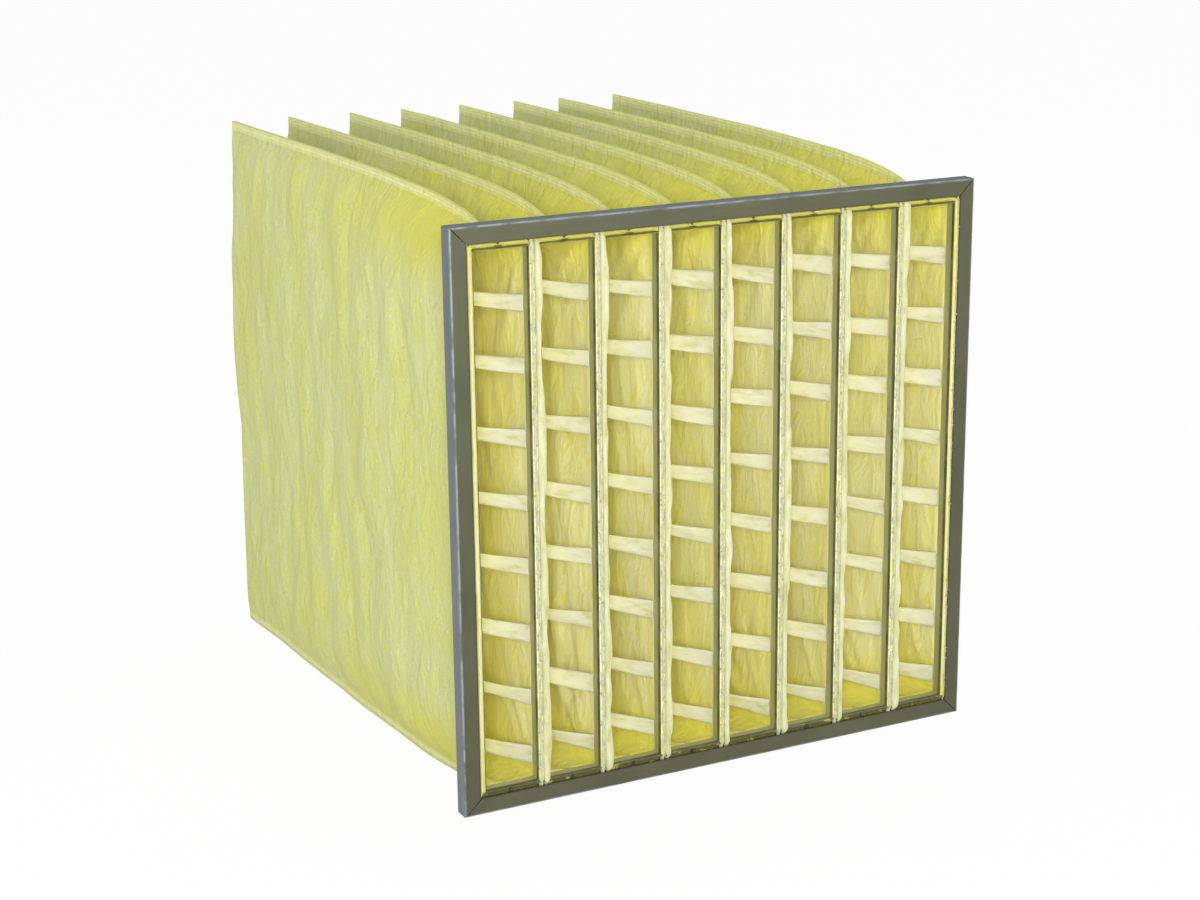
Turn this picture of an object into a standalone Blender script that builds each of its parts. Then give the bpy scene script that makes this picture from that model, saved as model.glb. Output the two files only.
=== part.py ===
"""Bag air filter: a square galvanised header frame that carries a row of fabric pockets.

Metres, +Z up. The header's face looks along -Y and the pockets trail along +Y. Everything is
modelled in the header's frame (front face at y = 0, lower edge at z = 0, middle at x = 0) and
hangs on one empty, which puts the origin under the middle of the whole filter, at its lowest.
"""
import math

import bmesh
import bpy
import numpy as np
from mathutils import Matrix, Vector

# Header: four folded channel rails of galvanised sheet
HEADER_SIZE = 0.592
HEADER_DEPTH = 0.020
FLANGE_WIDTH = 0.0175
SHEET = 0.0009
BEND_RADIUS = 0.0016
TAB_LENGTH = 0.024
TAB_SIDE_ROOM = 0.0045

# Clearance between pieces that touch on the real filter
SEAT_GAP = 0.0003

# Row of pockets
POCKET_COUNT = 8
FILTER_DEPTH = 0.750
FAN_OUT = 1.07
POCKET_SAG = 0.006
POCKET_LEAN = (0.002, -0.001, 0.005, 0.000, 0.004, 0.005, -0.005, -0.001)

# Filter media, from the hem at the mouth to the sewn seams
HEM_THICKNESS = 0.005
WALL_THICKNESS = 0.003
SEAM_THICKNESS = 0.0016
SEAM_FIN_HEIGHT = 0.009
SEAM_FIN_THICKNESS = 0.0024
BACK_FOLD_THICKNESS = 0.005
HEM_FRONT_INSET = 0.0005
HEM_BEAD = 0.008
HEM_BEAD_SLOPE = 0.003
CREASE_ROOM = 0.0003

# How a pocket changes from its square mouth to its flat back edge
SHOULDER_LENGTH = 0.080
SEAM_SLOPE_LENGTH = 0.090
FIN_RISE_LENGTH = 0.025
TAPER_POWER = 1.35

# Bent strip frame that holds each mouth open
STRIP_THICKNESS = 0.0008
STRIP_DEPTH = 0.012
STRIP_FRONT_INSET = 0.001
STRIP_BEND_RADIUS = 0.002

# Spacer ribbons across each pocket, behind the strip frame
RIBBON_COUNT = 8
RIBBON_LOWEST = 0.047
RIBBON_PITCH = 0.0667
RIBBON_HEIGHT = 0.014
RIBBON_THICKNESS = 0.001
RIBBON_BEHIND_STRIP = 0.003
RIBBON_REACH = 0.072

# Surface steps of a pocket: places down its depth and along each wall
DEEP_STEPS = (0.0, 0.030, 0.065, 0.120, 0.200, 0.320, 0.470, 0.610)
WALL_SPLITS = 4
SLOPE_SPLITS = 24

OPENING = HEADER_SIZE - 2 * FLANGE_WIDTH
MOUTH_WIDTH = (OPENING - (POCKET_COUNT + 1) * SEAT_GAP) / POCKET_COUNT
MOUTH_HEIGHT = OPENING - 2 * SEAT_GAP
POCKET_PITCH = MOUTH_WIDTH + SEAT_GAP
HALF_MOUTH_WIDTH = (MOUTH_WIDTH - HEM_THICKNESS) / 2
HALF_MOUTH_HEIGHT = (MOUTH_HEIGHT - HEM_THICKNESS) / 2
SEAM_SPAN = 2 * (HALF_MOUTH_WIDTH + HALF_MOUTH_HEIGHT)
TAPER_LENGTH = FILTER_DEPTH - HEADER_DEPTH
HALF_BACK_WIDTH = WALL_THICKNESS / 2 + CREASE_ROOM

GALVANISED = ((0.17, 0.18, 0.14), 0.42, 0.85)
STRIP_STEEL = ((0.14, 0.14, 0.09), 0.45, 0.85)
MEDIA = ((0.72, 0.70, 0.22), 0.90, 0.0)


def finish(piece, look):
    """Give a piece its own Principled material."""
    colour, roughness, metallic = look
    material = bpy.data.materials.new(piece.name)
    material.use_nodes = True
    shader = material.node_tree.nodes["Principled BSDF"]
    shader.inputs["Base Color"].default_value = (*colour, 1.0)
    shader.inputs["Roughness"].default_value = roughness
    shader.inputs["Metallic"].default_value = metallic
    piece.data.materials.append(material)


def new_object(name, mesh_builder, collection):
    """Turn a bmesh into a named object of a collection."""
    mesh = bpy.data.meshes.new(name)
    mesh_builder.to_mesh(mesh)
    mesh_builder.free()
    piece = bpy.data.objects.new(name, mesh)
    collection.objects.link(piece)
    return piece


def fold_and_thicken(piece, bend_radius, thickness):
    """Round the folds of an open sheet, then give it its thickness inwards."""
    bend = piece.modifiers.new("bends", "BEVEL")
    bend.width = bend_radius
    bend.segments = 2
    bend.limit_method = "ANGLE"
    bend.angle_limit = math.radians(40)
    sheet = piece.modifiers.new("sheet", "SOLIDIFY")
    sheet.thickness = thickness
    sheet.offset = -1
    sheet.use_even_offset = True


def extrude_edge(builder, edge, offset):
    """Extrude one edge by an offset and return the new edge."""
    grown = bmesh.ops.extrude_edge_only(builder, edges=[edge])["geom"]
    verts = [part for part in grown if isinstance(part, bmesh.types.BMVert)]
    bmesh.ops.translate(builder, verts=verts, vec=offset)
    edges = [part for part in grown if isinstance(part, bmesh.types.BMEdge)]
    return next(part for part in edges if all(vert in verts for vert in part.verts))


def header_rail(name, turn, has_tabs, collection):
    """One channel rail: web outside, two mitred flanges, and end tabs on every other rail.

    It is drawn with its web up and its length along X, then turned about Y onto its side of
    the header. A rail with tabs stops short of its neighbours' webs and tucks a tab under each.
    """
    half_length = HEADER_SIZE / 2
    if has_tabs:
        half_length -= SHEET + SEAT_GAP
    web = bmesh.new()
    bmesh.ops.create_grid(web, x_segments=1, y_segments=1, size=0.5)
    bmesh.ops.scale(web, verts=web.verts, vec=(2 * half_length, HEADER_DEPTH, 1.0))
    bmesh.ops.translate(web, verts=web.verts, vec=(0, HEADER_DEPTH / 2, 0))
    for place in (TAB_SIDE_ROOM, HEADER_DEPTH - TAB_SIDE_ROOM):
        whole = web.verts[:] + web.edges[:] + web.faces[:]
        bmesh.ops.bisect_plane(web, geom=whole, plane_co=(0, place, 0), plane_no=(0, 1, 0))
    rims = [edge for edge in web.edges if edge.is_boundary]
    middles = {edge: (edge.verts[0].co + edge.verts[1].co) / 2 for edge in rims}
    fold_edges = [edge for edge in rims if abs(middles[edge].x) < half_length / 2]
    tab_edges = [edge for edge in rims if abs(middles[edge].y - HEADER_DEPTH / 2) < TAB_SIDE_ROOM]
    for edge in fold_edges:
        lip = extrude_edge(web, edge, Vector((0, 0, -FLANGE_WIDTH)))
        for vert in lip.verts:
            vert.co.x -= math.copysign(FLANGE_WIDTH, vert.co.x)
    if has_tabs:
        for edge in tab_edges:
            extrude_edge(web, edge, Vector((0, 0, -TAB_LENGTH)))
    bmesh.ops.recalc_face_normals(web, faces=web.faces)
    top_face = max(web.faces, key=lambda face: face.calc_center_median().z)
    if top_face.normal.z < 0:
        bmesh.ops.reverse_faces(web, faces=web.faces)
    rail = new_object(name, web, collection)
    fold_and_thicken(rail, BEND_RADIUS, SHEET)
    outward = Matrix.Rotation(turn, 3, "Y") @ Vector((0, 0, 1))
    rail.rotation_euler = (0, turn, 0)
    rail.location = Vector((0, 0, HEADER_SIZE / 2)) + outward * (HEADER_SIZE / 2)
    finish(rail, GALVANISED)
    return rail


def strip_frame(name, centre_x, collection):
    """The bent strip that holds one pocket's mouth open against its neighbours."""
    clear = 2 * HEM_THICKNESS + 2 * SEAT_GAP
    strip = bmesh.new()
    bmesh.ops.create_cube(strip, size=1.0)
    bmesh.ops.scale(strip, verts=strip.verts, vec=(MOUTH_WIDTH - clear, STRIP_DEPTH, MOUTH_HEIGHT - clear))
    ends = [face for face in strip.faces if abs(face.normal.y) > 0.9]
    bmesh.ops.delete(strip, geom=ends, context="FACES")
    ring = new_object(name, strip, collection)
    fold_and_thicken(ring, STRIP_BEND_RADIUS, STRIP_THICKNESS)
    ring.location = (centre_x, STRIP_FRONT_INSET + STRIP_DEPTH / 2, HEADER_SIZE / 2)
    finish(ring, STRIP_STEEL)
    return ring


def half_width(depth):
    """Half the distance between a pocket's wall middles at a depth behind the header."""
    share = depth / TAPER_LENGTH
    return HALF_BACK_WIDTH + (HALF_MOUTH_WIDTH - HALF_BACK_WIDTH) * (1 - share ** TAPER_POWER)


def wall_marks():
    """Distances from the upper seam, along the cloth, at which a wall has its points."""
    corner = HALF_MOUTH_WIDTH
    middle = SEAM_SPAN / 2
    upper = [0.0, 0.5 * corner, corner]
    spread = [(step / WALL_SPLITS) ** 1.5 for step in range(1, WALL_SPLITS)]
    upper += [corner + (middle - corner) * share for share in spread]
    lower = [SEAM_SPAN - mark for mark in reversed(upper)]
    return upper + [middle] + lower


def square_section(marks):
    """Wall points of the mouth: half the top edge, the side, and half the bottom edge."""
    path = np.array([
        (0.0, HALF_MOUTH_HEIGHT),
        (HALF_MOUTH_WIDTH, HALF_MOUTH_HEIGHT),
        (HALF_MOUTH_WIDTH, -HALF_MOUTH_HEIGHT),
        (0.0, -HALF_MOUTH_HEIGHT),
    ])
    return along_path(path, marks)


def lens_section(marks, half):
    """Wall points of a pocket that closes to its seams in a slope, with the same cloth length."""
    slope = np.linspace(0.0, 1.0, SLOPE_SPLITS + 1)
    bulge = half * np.sin(slope * math.pi / 2)
    drop = SEAM_SLOPE_LENGTH * slope
    cloth_in_slope = np.sum(np.hypot(np.diff(bulge), np.diff(drop)))
    half_height = SEAM_SPAN / 2 - cloth_in_slope + SEAM_SLOPE_LENGTH
    upper = np.column_stack((bulge, half_height - drop))
    lower = np.column_stack((bulge[::-1], -(half_height - drop[::-1])))
    return along_path(np.vstack((upper, lower)), marks)


def along_path(path, marks):
    """Points at given distances along a path."""
    steps = np.hypot(np.diff(path[:, 0]), np.diff(path[:, 1]))
    travelled = np.concatenate(([0.0], np.cumsum(steps)))
    scaled = np.array(marks) * travelled[-1] / SEAM_SPAN
    return np.column_stack((
        np.interp(scaled, travelled, path[:, 0]),
        np.interp(scaled, travelled, path[:, 1]),
    ))


def wall_section(depth):
    """Right-hand wall points (x, z) at a depth behind the header, from upper to lower seam."""
    marks = wall_marks()
    settled = 1 - math.exp(-depth / SHOULDER_LENGTH)
    square = square_section(marks)
    lens = lens_section(marks, half_width(depth))
    return square + (lens - square) * settled


def wall_offsets(points, thickness, seam_thickness):
    """Outer and inner points of a wall, square to it, thinner where it is pressed at a seam."""
    before = np.vstack(([-points[1, 0], points[1, 1]], points[:-1]))
    after = np.vstack((points[1:], [-points[-2, 0], points[-2, 1]]))
    into = points - before
    out = after - points
    into /= np.linalg.norm(into, axis=1)[:, None]
    out /= np.linalg.norm(out, axis=1)[:, None]
    run = into + out
    run /= np.linalg.norm(run, axis=1)[:, None]
    square_to = np.column_stack((-run[:, 1], run[:, 0]))
    stretch = 1 / np.maximum(np.sum(run * into, axis=1), 0.6)
    half = np.full(len(points), thickness / 2)
    half[0] = seam_thickness / 2
    half[-1] = seam_thickness / 2
    shift = square_to * (half * stretch)[:, None]
    outer = points + shift
    inner = points - shift
    inner[1:-1, 0] = np.maximum(inner[1:-1, 0], CREASE_ROOM)
    inner[0, 0] = 0.0
    inner[-1, 0] = 0.0
    outer[0, 0] = 0.0
    outer[-1, 0] = 0.0
    return outer, inner


def fin_outline(outer, base, height):
    """Right half of the outer section, with the sewn fin standing beyond each seam."""
    top = outer[0, 1]
    bottom = outer[-1, 1]
    tip = SEAM_FIN_THICKNESS / 2
    upper = [(tip, top + height), (base, top)]
    lower = [(base, bottom), (tip, bottom - height)]
    return np.vstack((upper, outer[1:-1], lower))


def centre_line(index, place):
    """Middle of a pocket (x, z) at a distance behind the header's front face."""
    mouth_x = (index - (POCKET_COUNT - 1) / 2) * POCKET_PITCH
    lean = POCKET_LEAN[index % len(POCKET_LEAN)]
    behind = max(0.0, place - HEADER_DEPTH) / TAPER_LENGTH
    fanned_x = mouth_x * (1 + (FAN_OUT - 1) * behind) + lean * behind
    return fanned_x, HEADER_SIZE / 2 - POCKET_SAG * behind


def hem_sections(index):
    """Outer and inner half sections through the header, where the hem fills the channel."""
    square = wall_section(0.0)
    outer, inner = wall_offsets(square, HEM_THICKNESS, HEM_THICKNESS)
    bead_front = SHEET + SEAT_GAP
    bead_back = HEADER_DEPTH - SHEET - SEAT_GAP
    places = (
        (HEM_FRONT_INSET, 0.0),
        (bead_front, 0.0),
        (bead_front + HEM_BEAD_SLOPE, HEM_BEAD),
        (bead_back - HEM_BEAD_SLOPE, HEM_BEAD),
        (bead_back, 0.0),
    )
    sections = []
    for place, bead in places:
        grown = outer.copy()
        grown[:, 1] += np.sign(grown[:, 1]) * np.where(np.abs(grown[:, 1]) > HALF_MOUTH_HEIGHT, bead, 0.0)
        outline = fin_outline(grown, SEAM_FIN_THICKNESS, 0.0)
        left_bead = bead if index == 0 else 0.0
        right_bead = bead if index == POCKET_COUNT - 1 else 0.0
        sections.append((place, outline, left_bead, right_bead))
    return sections, inner


def pocket_sections(index):
    """All outer sections and inner sections of a pocket, from the mouth to the back edge."""
    outer_sections, hem_inner = hem_sections(index)
    inner_sections = [(HEM_FRONT_INSET, hem_inner)]
    for depth in DEEP_STEPS:
        thickness = HEM_THICKNESS if depth == 0.0 else WALL_THICKNESS
        seam = HEM_THICKNESS if depth == 0.0 else SEAM_THICKNESS
        outer, inner = wall_offsets(wall_section(depth), thickness, seam)
        risen = 1 - math.exp(-depth / FIN_RISE_LENGTH)
        base = SEAM_FIN_THICKNESS * (1 - risen / 2)
        outline = fin_outline(outer, base, SEAM_FIN_HEIGHT * risen)
        outer_sections.append((HEADER_DEPTH + depth, outline, 0.0, 0.0))
        inner_sections.append((HEADER_DEPTH + depth, inner))
    last_points = wall_section(TAPER_LENGTH)
    outer, inner = wall_offsets(last_points, WALL_THICKNESS, SEAM_THICKNESS)
    folded, _ = wall_offsets(last_points, BACK_FOLD_THICKNESS - 2 * HALF_BACK_WIDTH, SEAM_THICKNESS)
    near_back = FILTER_DEPTH - 2 * WALL_THICKNESS
    base = SEAM_FIN_THICKNESS / 2
    outer_sections.append((near_back, fin_outline(outer, base, SEAM_FIN_HEIGHT), 0.0, 0.0))
    outer_sections.append((FILTER_DEPTH, fin_outline(folded, base, SEAM_FIN_HEIGHT), 0.0, 0.0))
    inner_sections.append((near_back, inner))
    return outer_sections, inner_sections


def add_half_rings(builder, sections, index):
    """Place the right and left points of every section and return them as two grids."""
    right_grid = []
    left_grid = []
    for place, points, left_bead, right_bead in sections:
        middle_x, middle_z = centre_line(index, place)
        right_row = []
        left_row = []
        for x, z in points:
            right_x = x + (right_bead if x > HALF_MOUTH_WIDTH else 0.0)
            left_x = x + (left_bead if x > HALF_MOUTH_WIDTH else 0.0)
            right_row.append(builder.verts.new((middle_x + right_x, place, middle_z + z)))
            if x == 0.0:
                left_row.append(right_row[-1])
            else:
                left_row.append(builder.verts.new((middle_x - left_x, place, middle_z + z)))
        right_grid.append(right_row)
        left_grid.append(left_row)
    return right_grid, left_grid


def skin_wall(builder, grid, flip):
    """Faces between neighbouring sections of one wall."""
    for row, following in zip(grid, grid[1:]):
        for step in range(len(row) - 1):
            corners = [row[step], row[step + 1], following[step + 1], following[step]]
            builder.faces.new(corners[::-1] if flip else corners)


def close_strip(builder, right_row, left_row, flip):
    """Faces that close a section between its right and left points."""
    for step in range(len(right_row) - 1):
        corners = [right_row[step], left_row[step], left_row[step + 1], right_row[step + 1]]
        corners = list(dict.fromkeys(corners))
        if len(corners) > 2:
            builder.faces.new(corners[::-1] if flip else corners)


def pocket(name, index, collection, guides):
    """One pocket: a hollow cloth wedge, open at its mouth, with ribbons across it."""
    outer_sections, inner_sections = pocket_sections(index)
    builder = bmesh.new()
    outer_right, outer_left = add_half_rings(builder, outer_sections, index)
    plain_inner = [(place, points, 0.0, 0.0) for place, points in inner_sections]
    inner_right, inner_left = add_half_rings(builder, plain_inner, index)
    skin_wall(builder, outer_right, flip=False)
    skin_wall(builder, outer_left, flip=True)
    for rows in zip(outer_right, outer_right[1:], outer_left, outer_left[1:]):
        for end in (0, -1):
            corners = [rows[0][end], rows[1][end], rows[3][end], rows[2][end]]
            builder.faces.new(corners)
    skin_wall(builder, inner_right, flip=True)
    skin_wall(builder, inner_left, flip=False)
    close_strip(builder, outer_right[-1], outer_left[-1], flip=False)
    close_strip(builder, inner_right[-1], inner_left[-1], flip=True)
    for outer_row, inner_row in ((outer_right[0], inner_right[0]), (outer_left[0], inner_left[0])):
        wall = outer_row[1:-1]
        for step in range(len(wall) - 1):
            builder.faces.new([wall[step], wall[step + 1], inner_row[step + 1], inner_row[step]])
    for end, next_in in ((0, 1), (-1, -2)):
        builder.faces.new([
            outer_right[0][next_in],
            outer_right[0][end],
            outer_left[0][end],
            outer_left[0][next_in],
            inner_right[0][end],
        ])
    bmesh.ops.recalc_face_normals(builder, faces=builder.faces)
    cloth = new_object(name, builder, collection)
    ribbons = ribbon_set(name + "_ribbons", index, guides)
    joined = cloth.modifiers.new("ribbons", "BOOLEAN")
    joined.operation = "UNION"
    joined.solver = "EXACT"
    joined.object = ribbons
    finish(cloth, MEDIA)
    return cloth, ribbons


def wall_at(depth, height):
    """How far a pocket's wall stands from its centre line, at a height above that line."""
    points = wall_section(depth)
    return float(np.interp(height, points[::-1, 1], points[::-1, 0]))


def ribbon_set(name, index, guides):
    """The slanting ribbons of one pocket, from the wall behind the strip to the other wall."""
    near = STRIP_FRONT_INSET + STRIP_DEPTH + RIBBON_BEHIND_STRIP
    far = near + RIBBON_REACH
    near_middle_x, _ = centre_line(index, near)
    far_middle_x, far_middle_z = centre_line(index, far)
    builder = bmesh.new()
    for step in range(RIBBON_COUNT):
        level = RIBBON_LOWEST + RIBBON_PITCH * step
        edges = (level - RIBBON_HEIGHT / 2, level + RIBBON_HEIGHT / 2)
        far_wall = min(wall_at(far - HEADER_DEPTH, edge - far_middle_z) for edge in edges)
        start = Vector((near_middle_x + HALF_MOUTH_WIDTH, near, level))
        end = Vector((far_middle_x - far_wall, far, level))
        run = end - start
        slab = bmesh.ops.create_cube(builder, size=1.0)["verts"]
        bmesh.ops.scale(builder, verts=slab, vec=(run.length, RIBBON_THICKNESS, RIBBON_HEIGHT))
        turn = Matrix.Rotation(math.atan2(run.y, run.x), 4, "Z")
        bmesh.ops.transform(builder, verts=slab, matrix=Matrix.Translation((start + end) / 2) @ turn)
    ribbons = new_object(name, builder, guides)
    ribbons.hide_render = True
    ribbons.display_type = "WIRE"
    return ribbons


def lowest_point():
    """How far the pockets' lower fins hang below the header's lower edge."""
    lowest = 0.0
    outer_sections, _ = pocket_sections(0)
    for place, points, _, _ in outer_sections:
        lowest = min(lowest, centre_line(0, place)[1] + points[-1][1])
    return lowest


def main():
    for leftover in list(bpy.data.objects):
        bpy.data.objects.remove(leftover, do_unlink=True)
    parts = bpy.data.collections.new("bag_air_filter")
    guides = bpy.data.collections.new("guides")
    bpy.context.scene.collection.children.link(parts)
    bpy.context.scene.collection.children.link(guides)

    base = bpy.data.objects.new("filter_base", None)
    parts.objects.link(base)
    base.location = (0, -FILTER_DEPTH / 2, -lowest_point())

    pieces = [
        header_rail("header_top_rail", 0.0, True, parts),
        header_rail("header_right_rail", math.radians(90), False, parts),
        header_rail("header_bottom_rail", math.radians(180), True, parts),
        header_rail("header_left_rail", math.radians(270), False, parts),
    ]
    for index in range(POCKET_COUNT):
        number = index + 1
        centre_x = centre_line(index, 0.0)[0]
        pieces.append(strip_frame(f"pocket_frame_{number}", centre_x, parts))
        pieces += pocket(f"pocket_{number}", index, parts, guides)
    for piece in pieces:
        piece.parent = base


main()
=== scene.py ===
"""Bag air filter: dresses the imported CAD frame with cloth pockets, ribbons, hems and sheet steel.

Each piece has an operator in the Bag filter tab of the 3D view's sidebar. Metres, +Z up.
Places are given in the header's frame: x from the middle, y behind the header's front face,
z above the header's lower edge. World places add the header's own corner from the frame.
"""
import math
import random

import bmesh
import bpy
import numpy as np
from bpy.props import (
    FloatProperty,
    FloatVectorProperty,
    IntProperty,
    PointerProperty,
)
from mathutils import Matrix, Vector, noise

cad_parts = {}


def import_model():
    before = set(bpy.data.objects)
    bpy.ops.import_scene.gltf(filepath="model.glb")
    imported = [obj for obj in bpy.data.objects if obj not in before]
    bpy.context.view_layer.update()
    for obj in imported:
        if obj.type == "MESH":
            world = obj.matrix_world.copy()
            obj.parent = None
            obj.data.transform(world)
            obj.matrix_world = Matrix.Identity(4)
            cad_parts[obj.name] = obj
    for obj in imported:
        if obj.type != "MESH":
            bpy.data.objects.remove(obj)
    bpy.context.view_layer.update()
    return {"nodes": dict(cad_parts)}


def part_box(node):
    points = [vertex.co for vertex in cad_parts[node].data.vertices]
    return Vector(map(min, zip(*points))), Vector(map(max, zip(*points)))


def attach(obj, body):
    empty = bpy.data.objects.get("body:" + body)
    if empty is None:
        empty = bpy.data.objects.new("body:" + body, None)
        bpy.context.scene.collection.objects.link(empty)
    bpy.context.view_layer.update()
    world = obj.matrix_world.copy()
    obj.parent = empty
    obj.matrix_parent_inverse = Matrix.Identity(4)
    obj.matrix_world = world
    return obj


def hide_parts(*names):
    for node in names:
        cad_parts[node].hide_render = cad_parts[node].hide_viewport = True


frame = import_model()

bl_info = {
    "name": "Bag air filter",
    "version": (1, 0, 0),
    "blender": (4, 5, 0),
    "location": "View3D > Sidebar > Bag filter",
    "description": "Builds the pockets, hems, ribbons, steel and stage of a bag air filter",
    "category": "Object",
}

# The same values as the part's source
HEADER_SIZE = 0.592
HEADER_DEPTH = 0.020
FLANGE_WIDTH = 0.0175
SEAT_GAP = 0.0003
POCKET_COUNT = 8
FILTER_DEPTH = 0.750
FAN_OUT = 1.07
POCKET_SAG = 0.006
POCKET_LEAN = (0.002, -0.001, 0.005, 0.000, 0.004, 0.005, -0.005, -0.001)
HEM_THICKNESS = 0.005
WALL_THICKNESS = 0.003
SEAM_FIN_HEIGHT = 0.009
HEM_FRONT_INSET = 0.0005
HEM_BEAD = 0.008
SHOULDER_LENGTH = 0.080
SEAM_SLOPE_LENGTH = 0.090
FIN_RISE_LENGTH = 0.025
TAPER_POWER = 1.35
STRIP_DEPTH = 0.012
STRIP_FRONT_INSET = 0.001
RIBBON_COUNT = 8
RIBBON_LOWEST = 0.047
RIBBON_PITCH = 0.0667
RIBBON_REACH = 0.072
RIBBON_BEHIND_STRIP = 0.003

OPENING = HEADER_SIZE - 2 * FLANGE_WIDTH
MOUTH_WIDTH = (OPENING - (POCKET_COUNT + 1) * SEAT_GAP) / POCKET_COUNT
MOUTH_HEIGHT = OPENING - 2 * SEAT_GAP
POCKET_PITCH = MOUTH_WIDTH + SEAT_GAP
HALF_MOUTH_WIDTH = (MOUTH_WIDTH - HEM_THICKNESS) / 2
HALF_MOUTH_HEIGHT = (MOUTH_HEIGHT - HEM_THICKNESS) / 2
SEAM_SPAN = 2 * (HALF_MOUTH_WIDTH + HALF_MOUTH_HEIGHT)
TAPER_LENGTH = FILTER_DEPTH - HEADER_DEPTH
HALF_BACK_WIDTH = WALL_THICKNESS / 2 + SEAT_GAP

# Where the header stands in the world
FRONT_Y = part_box("header_top_rail")[0][1]
HEADER_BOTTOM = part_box("header_bottom_rail")[0][2]
HEADER_MIDDLE = HEADER_BOTTOM + HEADER_SIZE / 2

# Upper and lower hems start this far behind the flange, easing out at the hem's rear part
HEM_SET_BACK = 0.0062
HEM_REAR = 0.0100
# The hem spreads inside the channel between these depths, clear of both flanges
BEAD_FRONT = 0.0042
BEAD_REAR = 0.0158
BEAD_RISE = 0.0030

# How far each pocket's back edge swings sideways at its bottom, and bellies above its middle
BACK_SWING = (-0.010, -0.004, 0.003, -0.003, 0.002, 0.004, -0.002, 0.003)
BACK_BELLY = (-0.007, -0.004, -0.002, 0.002, -0.002, 0.002, 0.003, 0.004)

# A wall takes this share of the free space beside it, less a clearance
SHARE_OF_GAP = 0.45
WALL_CLEARANCE = 0.0003
# Thickness of the pressed seams, and how far in from them the cloth is at its full thickness
SEAM_THICKNESS = 0.0015
SEAM_TO_FULL = 0.020
RIBBON_SCATTER = 0.008
RIBBON_THICKNESS = 0.0007
# Height of the folds that fan out of the mouths' corners, and of the dimples where ribbons are sewn
CORNER_FOLD = 0.0085
SEWN_DIMPLE = 0.0034
STITCH_PITCH = 0.0048
STITCH_LENGTH = 0.0034
STITCH_HALF_WIDTH = 0.0008
# The hem's front shows this far in from the flange's edge, fading between the two; the painted
# shade under the flange and the painted shadow along the lower hem lie in this band
HEM_SHOWS = (0.0054, 0.0062)
# How far the roll and the raw edge run behind the flange at their ends
ROLL_OVERLAP = 0.0030
TORN_OVERLAP = 0.0008
WELD_DISTANCE = 0.00002

# Stretch of the rolling streaks on upright and on level sheet
ROLLED_UPRIGHT = (1.0, 1.0, 0.06)
ROLLED_LEVEL = (0.06, 1.0, 1.0)
WHITE = (1.0, 1.0, 1.0, 1.0)
FLOOR_HALF_SIZE = 45.0
FLOOR_BELOW = 0.0005
FLOOR_WHITE_SHARE = 0.96
# Name, place, target, size and colour of each lamp; the stage holds its power
LAMPS = (
    ("key", (-1.55, -3.60, 1.30), (0.0, -0.3, 0.3), 1.2, (1.0, 0.99, 0.97)),
    ("right", (0.9, -3.8, 1.1), (0.0, -0.3, 0.3), 1.5, (1.0, 1.0, 0.99)),
    ("side", (-3.2, 0.4, 1.7), (-0.2, 0.0, 0.3), 2.2, (1.0, 1.0, 1.0)),
    ("overhead", (0.4, 0.3, 3.2), (0.0, 0.0, 0.3), 2.6, (1.0, 1.0, 1.0)),
)


def smooth(value):
    """Ease from 0 to 1."""
    value = min(max(value, 0.0), 1.0)
    return value * value * (3 - 2 * value)


def uneven(x, y, z):
    """Smooth noise at a place, about -1 to 1."""
    return noise.noise(Vector((x, y, z)))


def world(x, y, z):
    """A place in the header's frame, as a world vector."""
    return Vector((x, FRONT_Y + y, HEADER_BOTTOM + z))


def half_width(depth):
    """Half the distance between a pocket's wall middles at a depth behind the header."""
    share = min(depth / TAPER_LENGTH, 1.0)
    return HALF_BACK_WIDTH + (HALF_MOUTH_WIDTH - HALF_BACK_WIDTH) * (1 - share ** TAPER_POWER)


def along_path(path, marks):
    """Points at given distances along a path whose length is scaled to the cloth's."""
    steps = np.hypot(np.diff(path[:, 0]), np.diff(path[:, 1]))
    travelled = np.concatenate(([0.0], np.cumsum(steps)))
    scaled = np.clip(marks, 0.0, SEAM_SPAN) * travelled[-1] / SEAM_SPAN
    return np.column_stack((
        np.interp(scaled, travelled, path[:, 0]),
        np.interp(scaled, travelled, path[:, 1]),
    ))


def wall_section(depth, marks):
    """Wall points (x, z) from the upper to the lower seam, at a depth behind the header."""
    square = along_path(np.array([
        (0.0, HALF_MOUTH_HEIGHT),
        (HALF_MOUTH_WIDTH, HALF_MOUTH_HEIGHT),
        (HALF_MOUTH_WIDTH, -HALF_MOUTH_HEIGHT),
        (0.0, -HALF_MOUTH_HEIGHT),
    ]), marks)
    slope = np.linspace(0.0, 1.0, 33)
    bulge = half_width(depth) * np.sin(slope * math.pi / 2)
    drop = SEAM_SLOPE_LENGTH * slope
    cloth_in_slope = np.sum(np.hypot(np.diff(bulge), np.diff(drop)))
    half_height = SEAM_SPAN / 2 - cloth_in_slope + SEAM_SLOPE_LENGTH
    upper = np.column_stack((bulge, half_height - drop))
    lower = np.column_stack((bulge[::-1], -(half_height - drop[::-1])))
    lens = along_path(np.vstack((upper, lower)), marks)
    return square + (lens - square) * (1 - math.exp(-depth / SHOULDER_LENGTH))


def centre_line(index, place):
    """Middle of a pocket (x, z) at a distance behind the header's front face."""
    mouth_x = (index - (POCKET_COUNT - 1) / 2) * POCKET_PITCH
    behind = max(0.0, place - HEADER_DEPTH) / TAPER_LENGTH
    fanned_x = mouth_x * (1 + (FAN_OUT - 1) * behind) + POCKET_LEAN[index] * behind
    return fanned_x, HEADER_SIZE / 2 - POCKET_SAG * behind


def sideways_swing(index, behind, share_down):
    """How far the cloth of a pocket swings and bellies sideways off its centre line."""
    swing = BACK_SWING[index] * share_down * behind ** 1.5
    return swing + BACK_BELLY[index] * math.sin(math.pi * min(share_down * 1.5, 1.0)) * behind ** 2


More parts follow.
